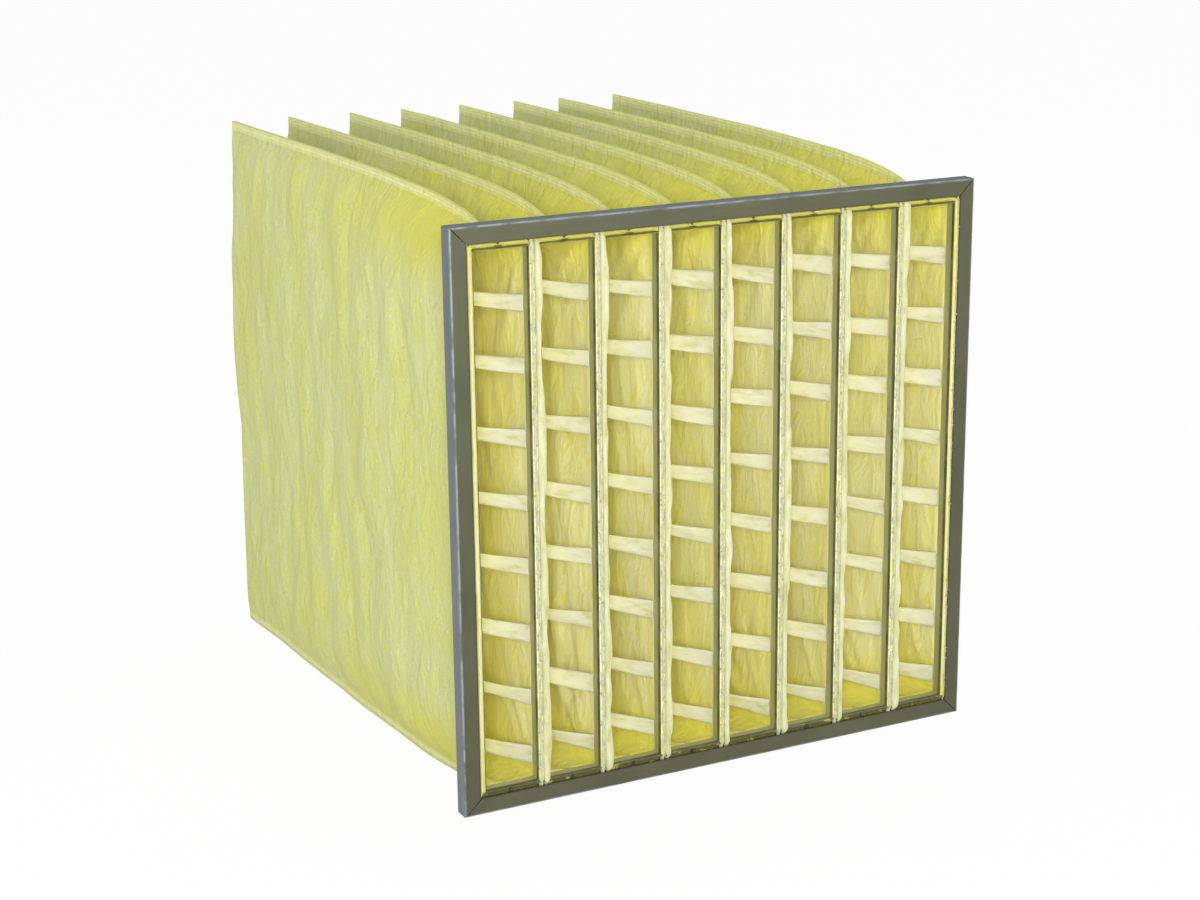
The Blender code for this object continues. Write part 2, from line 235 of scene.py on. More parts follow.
def room_beside(index, side, place, share_down):
    """How far a wall may bulge without meeting its neighbour's, at a share of the height down."""
    depth = max(0.0, place - HEADER_DEPTH)
    behind = depth / TAPER_LENGTH
    gap = POCKET_PITCH * (1 + (FAN_OUT - 1) * behind)
    beside = index + side
    if 0 <= beside < POCKET_COUNT:
        here = centre_line(index, place)[0] + sideways_swing(index, behind, share_down)
        there = centre_line(beside, place)[0] + sideways_swing(beside, behind, share_down)
        gap = min(gap, abs(there - here))
    held = math.exp(-depth / SHOULDER_LENGTH)
    half = half_width(depth) * (1 - held) + HALF_MOUTH_WIDTH * held
    return max(0.0, SHARE_OF_GAP * (gap - 2 * half - WALL_THICKNESS) - WALL_CLEARANCE)


def inner_wall(index, side, place, heights, look):
    """How far the crumpled wall's inside stands from the centre line, least over some heights."""
    depth = place - HEADER_DEPTH
    middle_z = centre_line(index, place)[1]
    marks = np.linspace(0.0, SEAM_SPAN, 200)
    points = wall_section(depth, marks)
    least = HALF_MOUTH_WIDTH
    for height in heights:
        run = float(np.interp(height - middle_z, points[::-1, 1], marks[::-1]))
        x = float(np.interp(height - middle_z, points[::-1, 1], points[::-1, 0]))
        share_down = smooth(0.5 - (height - middle_z) / (2 * HALF_MOUTH_HEIGHT))
        moved = wall_ripples(index, side, depth, run, look)
        x += min(moved, room_beside(index, side, place, share_down))
        least = min(least, x - WALL_THICKNESS / 2)
    return least


def ribbon_level(index, step):
    """Height of a ribbon above the header's lower edge, a little uneven as sewn by hand."""
    sewn = uneven(index * 3.7, step * 2.9, 1.3)
    return RIBBON_LOWEST + RIBBON_PITCH * step + RIBBON_SCATTER * sewn


class NodeBuilder:
    """Adds nodes to one material and links them in the order they are made."""

    def __init__(self, name):
        self.material = bpy.data.materials.new(name)
        self.material.use_nodes = True
        self.tree = self.material.node_tree
        self.shader = self.tree.nodes["Principled BSDF"]

    def add(self, kind, values=None, **settings):
        """Add a node; values sets or links its inputs by name or number."""
        made = self.tree.nodes.new(kind)
        for key, value in settings.items():
            setattr(made, key, value)
        for key, value in (values or {}).items():
            self.put(made.inputs[key], value)
        return made

    def put(self, socket, value):
        """Set a socket's value, or link it when the value is another socket."""
        if isinstance(value, bpy.types.NodeSocket):
            self.tree.links.new(value, socket)
        else:
            socket.default_value = value

    def shade(self, **values):
        """Set or link the Principled shader's inputs; underscores stand for spaces."""
        for key, value in values.items():
            self.put(self.shader.inputs[key.replace("_", " ")], value)

    def place(self, stretch=(1.0, 1.0, 1.0)):
        """Object coordinates, stretched per axis."""
        coordinates = self.add("ShaderNodeTexCoord").outputs["Object"]
        return self.add("ShaderNodeMapping", {"Vector": coordinates, "Scale": stretch}).outputs[0]

    def grain(self, vector, scale, detail=4.0, roughness=0.55):
        """Noise strength at a place."""
        values = {"Vector": vector, "Scale": scale, "Detail": detail, "Roughness": roughness}
        return self.add("ShaderNodeTexNoise", values).outputs[0]

    def ramp(self, factor, *stops):
        """Colour ramp from (position, colour) stops."""
        made = self.add("ShaderNodeValToRGB", {"Fac": factor})
        points = made.color_ramp.elements
        while len(points) < len(stops):
            points.new(0.5)
        for point, (position, colour) in zip(points, stops):
            point.position = position
            point.color = (*colour, 1.0)
        return made.outputs[0]

    def levels(self, factor, low, high, out_low=0.0, out_high=1.0):
        """Remap a value between two limits, clamped."""
        values = {0: factor, 1: low, 2: high, 3: out_low, 4: out_high}
        return self.add("ShaderNodeMapRange", values).outputs[0]

    def tint(self, factor, tone, colour):
        """Lay a colour over a tone by a factor."""
        values = {0: factor, 6: tone, 7: (*colour, 1.0)}
        return self.add("ShaderNodeMix", values, data_type="RGBA").outputs[2]

    def sum(self, first, second, operation="ADD"):
        """Combine two values."""
        return self.add("ShaderNodeMath", {0: first, 1: second}, operation=operation).outputs[0]

    def times(self, first, second):
        """Product of two values."""
        return self.sum(first, second, "MULTIPLY")

    def away(self, value, middle):
        """Distance of a value from a middle one."""
        return self.sum(self.sum(value, middle, "SUBTRACT"), 0.0, "ABSOLUTE")

    def outwards(self, position):
        """Distance from the header's middle, sideways or upright, whichever is larger."""
        sideways = self.sum(position.outputs[0], 0.0, "ABSOLUTE")
        return self.sum(sideways, self.away(position.outputs[2], HEADER_MIDDLE), "MAXIMUM")

    def bump(self, height, strength, distance, under=None):
        """Bump from a height; distance in metres."""
        values = {"Height": height, "Strength": strength, "Distance": distance}
        if under is not None:
            values["Normal"] = under
        return self.add("ShaderNodeBump", values).outputs[0]


def srgb(red, green, blue):
    """Linear colour of an 8-bit screen colour."""
    shares = [channel / 255 for channel in (red, green, blue)]
    return tuple(
        share / 12.92 if share <= 0.04045 else ((share + 0.055) / 1.055) ** 2.4 for share in shares
    )


def cloth_material(name, pale, deep, groove, slope_tone_and_deep_shade, relief, deep_shade_share, look):
    """Non-woven media: streaks down the cloth, fibre flecks, a pressed and sewn seam band, painted
    shade under the flange, a painted shadow line along the lower hem and painted shade far inside
    the pockets.

    slope_tone_and_deep_shade is the colour of the slopes by the header and, by deep_shade_share,
    the painted shade of what lies far in.
    """
    make = NodeBuilder(name)
    streaks = make.add("ShaderNodeTexNoise", {
        "Vector": make.place((1.0, 1.0, 0.42)), "Scale": look.streak_scale, "Detail": 4.0,
        "Roughness": 0.62, "Distortion": 1.6,
    }).outputs[0]
    broad = make.grain(make.place((1.0, 1.0, 0.45)), 11.0, 4.0, 0.65)
    tone = make.ramp(streaks, (0.30, deep), (0.44, pale), (0.56, pale), (0.68, deep))
    blotch = make.levels(broad, 0.44, 0.60)
    tone = make.tint(make.times(blotch, 0.62), tone, deep)
    fibres = make.grain(make.place((1.0, 1.0, 0.5)), 900.0, 3.0, 0.7)
    tone = make.tint(make.levels(fibres, 0.45, 0.75, 0.0, 0.30), tone, groove)
    wool = make.grain(make.place(), 210.0, 2.0, 0.7)
    tone = make.tint(make.levels(wool, 0.52, 0.72, 0.0, 0.25), tone, srgb(240, 240, 190))

    laid = make.add("ShaderNodeUVMap", uv_map="cut").outputs[0]
    split = make.add("ShaderNodeSeparateXYZ", {0: laid})
    along, across = split.outputs[0], split.outputs[1]
    position = make.add("ShaderNodeSeparateXYZ", {0: make.place()})
    upright = make.sum(position.outputs[2], HEADER_MIDDLE, "SUBTRACT")
    near, far = HEM_SHOWS
    at_rim = make.levels(upright, near - OPENING / 2, far - OPENING / 2, 1.0, 0.0)
    at_front = make.levels(position.outputs[1], FRONT_Y + 0.0115, FRONT_Y + 0.0130, 1.0, 0.0)
    bits = make.grain(make.place((0.45, 1.0, 1.0)), 150.0, 3.0)
    # Painted shadow: a near-black line along the lower hem, just below the strip's lower edge,
    # broken by pale bits
    lower_rim_shadow = make.times(make.times(at_rim, at_front), make.levels(bits, 0.60, 0.66, 0.85, 0.15))
    # Painted shade: the cloth at the hem just inside the flange's edge, near the front, darkened as
    # if under the flange
    flange_shade = make.levels(make.outwards(position), OPENING / 2 - far, OPENING / 2 - near, 0.0, 0.5)
    flange_shade = make.times(flange_shade, at_front)
    on_slope = make.levels(across, 0.050, 0.105, 1.0, 0.0)
    from_back = make.away(along, FILTER_DEPTH)
    by_header = make.levels(from_back, FILTER_DEPTH - 0.55, FILTER_DEPTH - 0.08)
    steeped = make.times(make.times(on_slope, by_header), 0.85)
    tone = make.tint(steeped, tone, slope_tone_and_deep_shade)
    # Painted shade: from about 75 to 112 mm behind the front face the cloth turns deeper yellow,
    # standing in for the darker, yellower light deep in a pocket
    deep_shade = make.levels(position.outputs[1], FRONT_Y + 0.075, FRONT_Y + 0.112, 0.0, deep_shade_share)
    tone = make.tint(deep_shade, tone, slope_tone_and_deep_shade)
    in_band = make.levels(across, SEAM_FIN_HEIGHT * 1.05, SEAM_FIN_HEIGHT * 1.25, 1.0, 0.0)
    row = {0: across, 1: SEAM_FIN_HEIGHT * 0.62, 2: STITCH_HALF_WIDTH}
    on_row = make.add("ShaderNodeMath", row, operation="COMPARE").outputs[0]
    on_stitch = make.sum(make.sum(along, STITCH_PITCH, "MODULO"), STITCH_LENGTH, "LESS_THAN")
    stitches = make.times(on_row, on_stitch)
    tone = make.tint(make.times(in_band, 0.65), tone, srgb(226, 228, 142))
    cut_edge = make.levels(across, 0.0002, 0.0011, 1.0, 0.0)
    tone = make.tint(make.times(cut_edge, 0.55), tone, srgb(150, 148, 70))
    tone = make.tint(make.times(stitches, 0.75), tone, srgb(246, 246, 214))

    # Lay on the painted shade under the flange
    tone = make.tint(flange_shade, tone, srgb(150, 146, 66))
    # Lay on the painted shadow line along the lower hem
    tone = make.tint(lower_rim_shadow, tone, srgb(58, 56, 30))

    crinkle = make.bump(streaks, look.crinkle_bump * relief, 0.0058)
    flutter = make.grain(make.place((1.0, 1.0, 0.25)), 150.0, 2.0, 0.65)
    crinkle = make.bump(flutter, look.crinkle_bump * relief * 0.7, 0.0010, crinkle)
    crinkle = make.bump(fibres, 0.35, 0.0004, crinkle)
    sewn = make.bump(stitches, 0.6, 0.0006, crinkle)
    make.shade(
        Base_Color=tone,
        Roughness=make.levels(wool, 0.3, 0.7, 0.80, 0.95),
        Normal=sewn,
        Sheen_Weight=0.12,
        Sheen_Roughness=0.5,
        Subsurface_Weight=look.translucency,
        Subsurface_Radius=(1.0, 0.95, 0.35),
        Subsurface_Scale=0.008,
    )
    return make.material


def ribbon_material():
    """Cream spun ribbon with creases along it and faint fibres, with painted yellow shade further
    into the pocket.
    """
    make = NodeBuilder("ribbon_cloth")
    creases = make.grain(make.place((0.35, 0.35, 1.0)), 130.0, 3.0, 0.6)
    tone = make.ramp(creases, (0.30, srgb(190, 188, 142)), (0.46, srgb(208, 207, 178)),
                     (0.70, srgb(216, 215, 194)))
    stain = make.grain(make.place(), 28.0, 3.0)
    tone = make.tint(make.levels(stain, 0.45, 0.75, 0.0, 0.30), tone, srgb(214, 210, 140))
    position = make.add("ShaderNodeSeparateXYZ", {0: make.place()})
    # Painted shade: the ribbon turns yellower from 35 to 85 mm behind the front, standing in for
    # the yellow light deep in the pocket
    deep_yellow_shade = make.levels(position.outputs[1], FRONT_Y + 0.035, FRONT_Y + 0.085, 0.0, 0.6)
    tone = make.tint(deep_yellow_shade, tone, srgb(222, 216, 134))
    fibres = make.grain(make.place((0.6, 0.6, 1.0)), 1100.0, 3.0, 0.7)
    normal = make.bump(fibres, 0.3, 0.0003, make.bump(creases, 0.6, 0.0012))
    make.shade(Base_Color=tone, Roughness=0.78, Normal=normal, Sheen_Weight=0.1,
               Subsurface_Weight=0.1, Subsurface_Radius=(1.0, 0.95, 0.6),
               Subsurface_Scale=0.003)
    return make.material


def hem_material():
    """Rolled hem: smooth pale cloth with pulled wrinkles."""
    make = NodeBuilder("hem_cloth")
    wrinkles = make.grain(make.place((1.0, 1.0, 0.3)), 160.0, 4.0, 0.6)
    tone = make.ramp(wrinkles, (0.28, srgb(160, 159, 98)), (0.44, srgb(182, 182, 136)),
                     (0.68, srgb(197, 198, 166)))
    laid = make.add("ShaderNodeUVMap", uv_map="around").outputs[0]
    around = make.add("ShaderNodeSeparateXYZ", {0: laid})
    off = make.away(around.outputs[0], 0.5)
    tone = make.tint(make.levels(off, 0.33, 0.43, 0.0, 0.85), tone, srgb(192, 189, 84))
    fibres = make.grain(make.place(), 1000.0, 3.0, 0.7)
    tone = make.tint(make.levels(fibres, 0.5, 0.8, 0.0, 0.4), tone, srgb(206, 207, 176))
    normal = make.bump(fibres, 0.35, 0.0004, make.bump(wrinkles, 0.7, 0.0016))
    make.shade(Base_Color=tone, Roughness=0.86, Normal=normal, Sheen_Weight=0.15,
               Subsurface_Weight=0.2, Subsurface_Radius=(1.0, 0.95, 0.4), Subsurface_Scale=0.003)
    return make.material


def torn_material():
    """Cut raw edge of the media: whitish fluff with dirt specks."""
    make = NodeBuilder("torn_edge_cloth")
    lumps = make.grain(make.place((1.0, 1.0, 0.55)), 330.0, 5.0, 0.75)
    tone = make.ramp(lumps, (0.16, srgb(98, 97, 66)), (0.30, srgb(152, 152, 118)),
                     (0.50, srgb(172, 173, 144)), (0.68, srgb(188, 189, 165)))
    specks = make.grain(make.place((1.0, 1.0, 0.8)), 640.0, 2.0, 0.5)
    tone = make.tint(make.levels(specks, 0.68, 0.73), tone, srgb(84, 80, 52))
    normal = make.bump(lumps, 0.6, 0.0010)
    make.shade(Base_Color=tone, Roughness=0.95, Normal=normal, Sheen_Weight=0.2)
    return make.material


def steel_material(name, look, metallic, base, bright, dark, streak):
    """Galvanised sheet: faint spangle, rolling streaks and dull patches, with a painted bluish
    reflection on the outer web, a painted highlight along the front ridge and painted shade along
    the front edges at the opening.
    """
    make = NodeBuilder(name)
    spangle = make.add("ShaderNodeTexVoronoi", {"Vector": make.place(), "Scale": 95.0})
    cells = make.add("ShaderNodeSeparateColor", {0: spangle.outputs["Color"]}).outputs[0]
    rolled = make.grain(make.place(streak), 260.0, 4.0, 0.6)
    patches = make.grain(make.place(), 14.0, 4.0, 0.6)
    tone = make.ramp(patches, (0.20, dark), (0.50, base), (0.80, bright))
    tone = make.tint(make.levels(cells, 0.0, 1.0, 0.0, look.spangle), tone, bright)
    tone = make.tint(make.levels(rolled, 0.45, 0.75, 0.0, 0.22), tone, dark)
    position = make.add("ShaderNodeSeparateXYZ", {0: make.place()})
    outwards = make.outwards(position)
    half = HEADER_SIZE / 2
    # Painted reflection: the outer web face of the rails tinted blue-grey
    web_reflection = make.levels(outwards, half - 0.0007, half - 0.0002)
    tone = make.tint(make.times(web_reflection, 0.75), tone, srgb(108, 116, 122))
    near_front = make.levels(position.outputs[1], FRONT_Y + 0.0008, FRONT_Y + 0.0024, 1.0, 0.0)
    ridge = make.times(make.levels(outwards, half - 0.0022, half - 0.0010), near_front)
    breakup_noise = make.grain(make.place(), 55.0, 3.0)
    # Painted shade: the steel at and inside the opening's edge is darkened near its front, broken
    # up by noise
    inside = make.levels(outwards, OPENING / 2 + 0.001, OPENING / 2 + 0.002, 1.0, 0.0)
    front_edge_shade = make.levels(position.outputs[1], FRONT_Y + 0.0034, FRONT_Y + 0.0060, 1.0, 0.0)
    front_edge_shade = make.times(make.times(inside, front_edge_shade), make.levels(breakup_noise, 0.3, 0.6, 0.65, 0.95))
    tone = make.tint(front_edge_shade, tone, srgb(66, 66, 36))
    # Painted highlight: a pale blue-grey line along the rails' front ridge, broken up by noise
    ridge_highlight = make.times(ridge, make.levels(breakup_noise, 0.34, 0.56, 0.15, 0.75))
    tone = make.tint(ridge_highlight, tone, srgb(150, 158, 164))
    scratches = make.grain(make.place((streak[0] * 0.4, streak[1], streak[2])), 900.0, 2.0, 0.4)
    smoothest, roughest = look.roughness - 0.1, look.roughness + 0.12
    rough = make.levels(make.sum(patches, rolled), 0.7, 1.3, smoothest, roughest)
    normal = make.bump(scratches, 0.12, 0.0002, make.bump(cells, 0.08, 0.0003))
    make.shade(Base_Color=tone, Metallic=metallic, Roughness=rough, Normal=normal)
    return make.material


class BagFilterSteel(bpy.types.PropertyGroup):
    """Finish of the header rails and strip frames."""

    roughness: FloatProperty(
        name="Roughness", description="Middle roughness of the galvanised sheet",
        default=0.46, min=0.2, max=0.8,
    )
    spangle: FloatProperty(
        name="Spangle", description="How strongly the zinc crystals show",
        default=0.14, min=0.0, max=1.0,
    )
    metallic: FloatProperty(
        name="Metallic", description="Share of metal in the header's finish",
        default=0.38, min=0.0, max=1.0,
    )
    strip_metallic: FloatProperty(
        name="Strip metallic", description="Share of metal in the strips' duller finish",
        default=0.25, min=0.0, max=1.0,
    )


class BagFilterCloth(bpy.types.PropertyGroup):
    """Shape and finish of the pockets."""

    row_step: FloatProperty(
        name="Row step", description="Distance between rows of cloth points down the pocket",
        default=0.0052, min=0.003, max=0.02, subtype="DISTANCE", unit="LENGTH",
    )
    wall_points: IntProperty(
        name="Wall points", description="Points of a wall from seam to seam",
        default=76, min=24, max=140,
    )
    billow: FloatProperty(
        name="Billow", description="Height of the broad billows of a wall",
        default=0.0075, subtype="DISTANCE", unit="LENGTH",
    )
    fold: FloatProperty(
        name="Fold", description="Height of the upright folds of a wall",
        default=0.0060, subtype="DISTANCE", unit="LENGTH",
    )
    crinkle: FloatProperty(
        name="Crinkle", description="Height of the small crinkles of a wall",
        default=0.0027, subtype="DISTANCE", unit="LENGTH",
    )
    gather: FloatProperty(
        name="Gather", description="Height of the gathers that run back from the header",
        default=0.0030, subtype="DISTANCE", unit="LENGTH",
    )
    hang: FloatProperty(
        name="Hang", description="How far the lower seam hangs half way down the pocket",
        default=0.0025, subtype="DISTANCE", unit="LENGTH",
    )
    streak_scale: FloatProperty(
        name="Streak scale", description="How closely the upright streaks lie",
        default=46.0, min=5.0, max=300.0,
    )
    crinkle_bump: FloatProperty(
        name="Crinkle bump", description="Strength of the finest crinkles",
        default=0.85, min=0.0, max=1.0,
    )
    translucency: FloatProperty(
        name="Translucency", description="Share of light that spreads inside the cloth",
        default=0.40, min=0.0, max=1.0,
    )


class BagFilterHem(bpy.types.PropertyGroup):
    """Rolled hems and raw edges at the mouths."""

    roll_width: FloatProperty(
        name="Roll width", description="Width of the rolled hem seen from the front",
        default=0.0056, subtype="DISTANCE", unit="LENGTH",
    )
    roll_bulge: FloatProperty(
        name="Roll bulge", description="How far the roll bulges over the next mouth",
        default=0.0038, subtype="DISTANCE", unit="LENGTH",
    )
    torn_width: FloatProperty(
        name="Torn width", description="Width of the raw edge of the cloth",
        default=0.0042, subtype="DISTANCE", unit="LENGTH",
    )
    tufts: IntProperty(
        name="Tufts", description="Loose tufts along one raw edge", default=190, min=0, max=600
    )


class BagFilterRibbon(bpy.types.PropertyGroup):
    """Spacer ribbons across the pockets."""

    height: FloatProperty(
        name="Height", description="Width of a ribbon",
        default=0.0162, subtype="DISTANCE", unit="LENGTH",
    )
    sag: FloatProperty(
        name="Sag", description="How far a ribbon hangs at its middle",
        default=0.0022, subtype="DISTANCE", unit="LENGTH",
    )
    twist: FloatProperty(
        name="Twist", description="Most that a ribbon turns about its length",
        default=math.radians(20), subtype="ANGLE", unit="ROTATION",
    )


class BagFilterStage(bpy.types.PropertyGroup):
    """Camera, light and floor."""

    focal_length: FloatProperty(
        name="Focal length", description="Lens of the camera on a 36 mm sensor, in millimetres",
        default=68.70, min=20.0, max=200.0,
    )
    azimuth: FloatProperty(
        name="Azimuth", description="Turn of the camera from the filter's axis",
        default=math.radians(26.715), subtype="ANGLE", unit="ROTATION",
    )
    elevation: FloatProperty(
        name="Elevation", description="How far the camera looks down",
        default=math.radians(15.465), subtype="ANGLE", unit="ROTATION",
    )
    roll: FloatProperty(
        name="Roll", description="Tilt of the camera about its view",
        default=math.radians(-0.6446), subtype="ANGLE", unit="ROTATION",
    )
    eye: FloatVectorProperty(
        name="Eye", description="Place of the camera", default=(-1.114465, -2.307284, 0.985480),
        subtype="TRANSLATION", unit="LENGTH", size=3,
    )
    key_power: FloatProperty(
        name="Key power", description="Power of the large lamp beside the camera, in watts",
        default=102.0, min=0.0,
    )
    overhead_power: FloatProperty(
        name="Overhead power", description="Power of the overhead lamp, in watts",
        default=30.0, min=0.0,
    )
    right_power: FloatProperty(
        name="Right power", description="Power of the lamp in front on the right, in watts",
        default=58.0, min=0.0,
    )
    side_power: FloatProperty(
        name="Side power", description="Power of the lamp on the left, in watts",
        default=30.0, min=0.0,
    )
    sky: FloatProperty(
        name="Sky", description="Strength of the even light from all round",
        default=0.38, min=0.0,
    )


def new_piece(name, builder, *materials):
    """Turn a bmesh into a smooth object of the scene, riding on the part's body."""
    for face in builder.faces:
        face.smooth = True
    mesh = bpy.data.meshes.new(name)
    builder.to_mesh(mesh)
    builder.free()
    for material in materials:
        mesh.materials.append(material)
    piece = bpy.data.objects.new(name, mesh)
    bpy.context.scene.collection.objects.link(piece)
    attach(piece, "root")
    return piece


def dress_node(node, material):
    """Give a CAD node its finish."""
    for slot in frame["nodes"][node].material_slots:
        slot.material = material


def wall_ripples(index, side, depth, run, look):
    """How far a wall stands off its plain shape, at a depth and a distance along the cloth."""
    seed = index * 11.3 + side * 4.7
    low = SEAM_SPAN - run
    near_seam = smooth(min(run, low) / 0.038)
    deep = 1 - math.exp(-depth / 0.070)
    wander = 0.9 * uneven(run / 0.11, depth / 0.25, seed + 31)
    billow = uneven(depth / 0.19, run / 0.24, seed)
    fold = uneven(depth / 0.042 + wander, run / 0.13, seed + 7)
    fine = uneven(depth / 0.018 + 2 * wander, run / 0.042, seed + 13)
    gather_fade = math.exp(-depth / 0.085) * (1 - math.exp(-depth / 0.012))
    gather = uneven(run / 0.024 + depth * 3, depth / 0.16, seed + 19)
    moved = near_seam * deep * (look.billow * billow + look.fold * fold + look.crinkle * fine)
    moved += look.gather * gather * gather_fade * smooth(min(run, low) / 0.030)
    for corner in (run - HALF_MOUTH_WIDTH, low - HALF_MOUTH_WIDTH):
        reach = math.hypot(depth, max(corner, 0.0))
        if reach < 0.26 and corner > 0:
            angle = math.atan2(corner, depth + 0.004)
            rays = uneven(angle * 6.5, seed + 23, 0.3)
            folded = CORNER_FOLD * (rays - 0.22) * math.exp(-reach / 0.09)
            moved += folded * smooth(depth / 0.03) * smooth(corner / 0.03)
    sewn_depth = RIBBON_REACH - HEADER_DEPTH + STRIP_FRONT_INSET + STRIP_DEPTH + RIBBON_BEHIND_STRIP
    if side < 0 and depth < 0.16:
        for step in range(RIBBON_COUNT):
            level = HEADER_SIZE / 2 - ribbon_level(index, step)
            off_run = run - SEAM_SPAN / 2 - level
            off_depth = depth - sewn_depth
            moved -= SEWN_DIMPLE * math.exp(-(off_run / 0.013) ** 2 - (off_depth / 0.020) ** 2)
    return moved


def pocket_rows():
    """Places of the rows of cloth points down one wall, behind the header's front face."""
    look = bpy.context.scene.bag_filter_cloth
    hem = [
        HEM_FRONT_INSET, 0.0020, BEAD_FRONT, 0.0060, 0.0075,
        0.0128, 0.0143, BEAD_REAR, HEADER_DEPTH,
    ]
    back = FILTER_DEPTH - WALL_THICKNESS / 2 - HALF_BACK_WIDTH
    length = back - HEADER_DEPTH
    steps = round(length / look.row_step)
    return hem + [HEADER_DEPTH + length * step / steps for step in range(1, steps + 1)]


def pocket_marks():
    """Distances of a wall's points from the upper seam; fins lie outside 0 and the span."""
    look = bpy.context.scene.bag_filter_cloth
    shares = np.linspace(0.0, 1.0, look.wall_points)
    eased = shares - 0.055 * np.sin(2 * math.pi * shares)
    wall = eased * SEAM_SPAN
    fin = np.array([-1.0, -0.55, -0.12]) * SEAM_FIN_HEIGHT
    return np.concatenate((fin, wall, SEAM_SPAN - fin[::-1]))


def row_points(index, side, place, marks, look):
    """World points of one row of cloth, and its thickness at each."""
    depth = max(0.0, place - HEADER_DEPTH)
    behind = depth / TAPER_LENGTH
    middle_x, middle_z = centre_line(index, place)
    section = wall_section(depth, marks)
    risen = 0.03 + 0.97 * (1 - math.exp(-depth / FIN_RISE_LENGTH))
    in_channel = smooth((place - BEAD_FRONT) / BEAD_RISE) * smooth((BEAD_REAR - place) / BEAD_RISE)
    bead = HEM_BEAD * in_channel
    corner = 0.2 * HALF_MOUTH_WIDTH
    set_back = HEM_SET_BACK * (1 - smooth((place - HEM_FRONT_INSET) / (HEM_REAR - HEM_FRONT_INSET)))
    outermost = 0 if side < 0 else POCKET_COUNT - 1
    points = []
    thicknesses = []
    for run, (x, z) in zip(marks, section):
        edge = min(run, SEAM_SPAN - run)
        here = place + set_back * (1 - smooth((edge - 0.8 * HALF_MOUTH_WIDTH) / corner))
        thick = SEAM_THICKNESS + (WALL_THICKNESS - SEAM_THICKNESS) * smooth(edge / SEAM_TO_FULL)
        if depth == 0.0:
            thick = HEM_THICKNESS * 0.96 if edge > 0.001 else 0.0010
        moved = wall_ripples(index, side, depth, run, look) if edge > 0 and depth > 0 else 0.0
        if edge <= 0:
            grown = -edge * risen
            z += grown if run < SEAM_SPAN / 2 else -grown
            x = 0.0
        share_down = smooth(0.5 - z / (2 * HALF_MOUTH_HEIGHT))
        room = room_beside(index, side, place, share_down)
        x = max(x + min(moved, room), thick / 2 + 0.0001)
        if depth == 0.0 and edge < HALF_MOUTH_WIDTH:
            z += math.copysign(bead, z)
            x = max(x, 0.0) if edge > 0 else 0.0001
        seam_wave = 0.0022 * uneven(place / 0.085, index * 5.1, 2.0 if z > 0 else 9.0)
        swing = sideways_swing(index, behind, share_down)
        outer_bead = 0.0
        if depth == 0.0 and index == outermost:
            outer_bead = bead * smooth((x - HALF_MOUTH_WIDTH * 0.5) / (HALF_MOUTH_WIDTH * 0.4))
        shift = swing + seam_wave * (1 - math.exp(-depth / 0.08)) * (1 - smooth(edge / 0.10))
        hang = look.hang * math.sin(math.pi * min(behind * 1.15, 1.0))
        hang *= smooth(-z / HALF_MOUTH_HEIGHT)
        hang *= smooth(1 - (0.9 * behind) ** 6)
        points.append(world(middle_x + side * (x + outer_bead) + shift, here, middle_z + z - hang))
        thicknesses.append(thick)
    return points, thicknesses


def pocket_sheet(index, outer, inner):
    """One pocket: a single sheet folded over at the back edge, with its seam allowances pressed."""
    look = bpy.context.scene.bag_filter_cloth
    marks = pocket_marks()
    places = pocket_rows()
    rows = [row_points(index, -1, place, marks, look) for place in places]
    right = [row_points(index, 1, place, marks, look) for place in places]
    last_left, last_thicknesses = rows[-1]
    last_right = right[-1][0]
    for angle in (45, 90, 135):
        swept = []
        for start, end in zip(last_left, last_right):
            middle = (start + end) / 2
            radius = (end - start).length / 2
            back = Vector((0, radius * math.sin(math.radians(angle)), 0))
            swept.append(middle + (start - middle) * math.cos(math.radians(angle)) + back)
        rows.append((swept, last_thicknesses))
    rows += right[::-1]

    builder = bmesh.new()
    cut = builder.loops.layers.uv.new("cut")
    loft = builder.verts.layers.deform.verify()
    bmesh.ops.create_grid(builder, x_segments=len(marks) - 1, y_segments=len(rows) - 1, size=0.5)
    order = sorted(builder.verts, key=lambda vert: (round(vert.co.y, 6), round(vert.co.x, 6)))
    across = [mark + SEAM_FIN_HEIGHT for mark in marks]
    width = SEAM_SPAN + 2 * SEAM_FIN_HEIGHT
    travelled = 0.0
    before = rows[0][0][len(marks) // 2]
    laid = {}
    for number, (points, thicknesses) in enumerate(rows):
        here = points[len(marks) // 2]
        travelled += (here - before).length
        before = here
        for step, point in enumerate(points):
            vert = order[number * len(marks) + step]
            vert.co = point
            vert[loft][0] = thicknesses[step] / HEM_THICKNESS
            laid[vert] = (travelled, min(across[step], width - across[step]))
    for face in builder.faces:
        for loop in face.loops:
            loop[cut].uv = laid[loop.vert]
    bmesh.ops.recalc_face_normals(builder, faces=builder.faces)
    probe = min(builder.faces, key=lambda face: face.calc_center_median().x)
    if probe.normal.x > 0:
        bmesh.ops.reverse_faces(builder, faces=builder.faces)
    piece = new_piece(f"media_{index + 1}", builder, outer, inner)
    piece.vertex_groups.new(name="thickness")
    solid = piece.modifiers.new("cloth", "SOLIDIFY")
    solid.thickness = HEM_THICKNESS
    solid.offset = 0.0
    solid.vertex_group = "thickness"
    solid.material_offset = 1
    solid.material_offset_rim = 1
    return piece, travelled, width


def tucked(z, low, high, most, start, ease):
    """How far back the roll or raw edge stands near its ends, behind the flange."""
    return most * (1 - smooth((min(z - low, high - z) - start) / ease))


